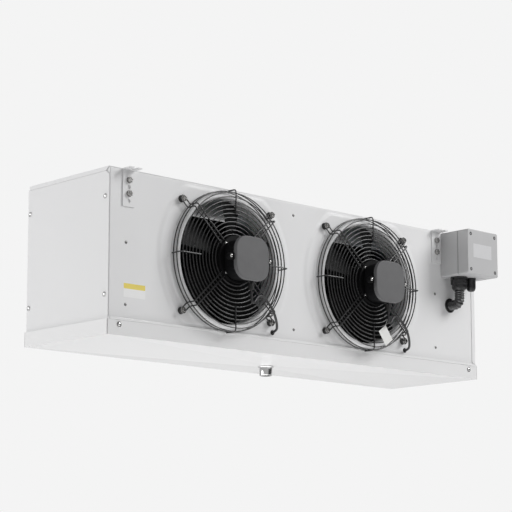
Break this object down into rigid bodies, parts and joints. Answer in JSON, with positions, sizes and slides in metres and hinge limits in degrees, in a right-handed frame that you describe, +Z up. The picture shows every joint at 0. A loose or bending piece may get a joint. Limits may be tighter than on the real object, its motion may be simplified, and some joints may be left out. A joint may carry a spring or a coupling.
{
  "type": "walk_in_unit_cooler",
  "caption": "Ceiling-hung walk-in unit cooler with two guarded fans, finned coil, side junction box and hinged drain pan.",
  "frame": {"origin": "on the ceiling plane, over the middle of the cabinet's length and depth", "axes": "X along the cabinet, right seen from the front; Y to the air-inlet side at the back; Z up; fans and junction box face -Y"},
  "size_m": [1.3164, 0.4455, 0.43],
  "materials": {
    "white_steel": "satin",
    "galvanised": "satin",
    "zinc_screws": "satin",
    "fins": "satin",
    "copper": "satin",
    "guard_black": "satin",
    "motor_black": "matte",
    "lid_grey": "matte",
    "blade_black": "satin",
    "rubber_black": "matte",
    "lead_black": "satin",
    "box_grey": "satin",
    "gland_grey": "satin",
    "conduit_grey": "satin",
    "seal_dark": "matte",
    "terminal_cream": "matte",
    "drain_metal": "satin",
    "card": "matte",
    "string": "matte"
  },
  "bodies": {
    "cabinet": {"box_lid_screws": "seal_dark", "casing": "white_steel", "centre_baffle": "galvanised", "conduit": "conduit_grey", "conduit_bush": "gland_grey", "conduit_gland": "gland_grey", "cover_screws": "zinc_screws", "fan_1_guard": "guard_black", "fan_1_lead": "lead_black", "fan_1_motor": "motor_black", "fan_1_motor_lid": "lid_grey", "fan_2_guard": "guard_black", "fan_2_lead": "lead_black", "fan_2_motor": "motor_black", "fan_2_motor_lid": "lid_grey", "fin_pack": "fins", "guard_bolts": "zinc_screws", "guard_bushes": "rubber_black", "hanger_bolts": "zinc_screws", "hanger_front_left": "white_steel", "hanger_front_right": "white_steel", "hanger_rear_left": "white_steel", "hanger_rear_right": "white_steel", "hinge_leaves_fixed": "zinc_screws", "junction_box_base": "box_grey", "junction_box_lid": "box_grey", "junction_box_seal": "seal_dark", "lead_glands": "rubber_black", "lead_grommets": "rubber_black", "left_end_cover": "white_steel", "left_tube_sheet": "galvanised", "liquid_distributor": "copper", "motor_screws": "zinc_screws", "panel_rivets": "zinc_screws", "pipe_grommets": "rubber_black", "return_bends_left": "copper", "return_bends_right": "copper", "right_end_cover": "white_steel", "right_tube_sheet": "galvanised", "suction_header": "copper", "supply_gland": "gland_grey", "tag_card": "card", "tag_string": "string", "terminal_block": "terminal_cream"},
    "fan_1_wheel": {"fan_1_rotor": "motor_black", "fan_1_impeller": "blade_black"},
    "fan_2_wheel": {"fan_2_rotor": "motor_black", "fan_2_impeller": "blade_black"},
    "pan": {"drain_pan": "white_steel", "drain_spigot": "drain_metal", "drain_gasket": "seal_dark", "drain_nut": "drain_metal", "pan_screws": "zinc_screws", "pan_nuts": "zinc_screws", "hinge_leaves_pan": "zinc_screws"}
  },
  "joints": [
    {"name": "fan_1_spin", "type": "hinge", "parent": "cabinet", "child": "fan_1_wheel", "pos_m": [-0.287, -0.204, -0.185], "axis": [0, -1, 0], "continuous": true},
    {"name": "fan_2_spin", "type": "hinge", "parent": "cabinet", "child": "fan_2_wheel", "pos_m": [0.204, -0.204, -0.185], "axis": [0, -1, 0], "continuous": true},
    {"name": "pan_drop", "type": "hinge", "parent": "cabinet", "child": "pan", "pos_m": [0, 0.166, -0.36], "axis": [1, 0, 0], "range_deg": [0, 75]}
  ]
}
